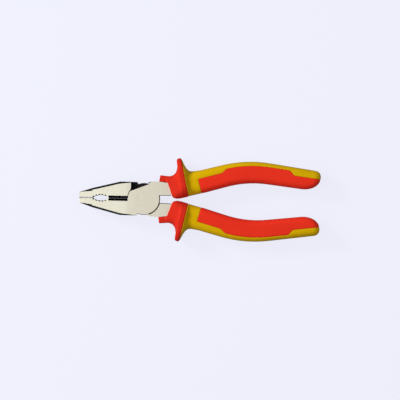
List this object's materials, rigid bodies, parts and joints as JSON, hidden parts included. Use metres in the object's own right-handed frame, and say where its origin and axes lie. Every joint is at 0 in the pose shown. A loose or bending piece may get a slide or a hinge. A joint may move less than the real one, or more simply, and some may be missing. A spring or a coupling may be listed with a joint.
{
  "type": "lineman pliers",
  "caption": "Insulated combination pliers with toothed flat jaws, oval pipe grip, side cutter, lap joint, finger guards and two-colour handles.",
  "frame": {"origin": "where the pivot axis meets the ground back face of the head", "axes": "+X along the handles and -X towards the jaw tips, +Y to the upper handle, +Z out of the front face of the head"},
  "size_m": [0.1999, 0.0694, 0.022],
  "materials": {
    "steel": "ground bright faces, black forged sides, lightly oiled",
    "rivet_steel": "ground flush with the faces",
    "yellow_insulation": "satin moulded",
    "red_grip": "soft matte moulded",
    "red_guard": "satin moulded"
  },
  "bodies": {
    "back_lever": {"back_half": "steel", "pivot_rivet": "rivet_steel", "lower_sleeve": "yellow_insulation", "lower_grip": "red_grip", "lower_guard": "red_guard"},
    "front_lever": {"front_half": "steel", "upper_sleeve": "yellow_insulation", "upper_grip": "red_grip", "upper_guard": "red_guard"}
  },
  "joints": [
    {"name": "jaw_pivot", "type": "hinge", "parent": "back_lever", "child": "front_lever", "pos_m": [0, 0, 0], "axis": [0, 0, 1], "range_deg": [0, 32]}
  ]
}
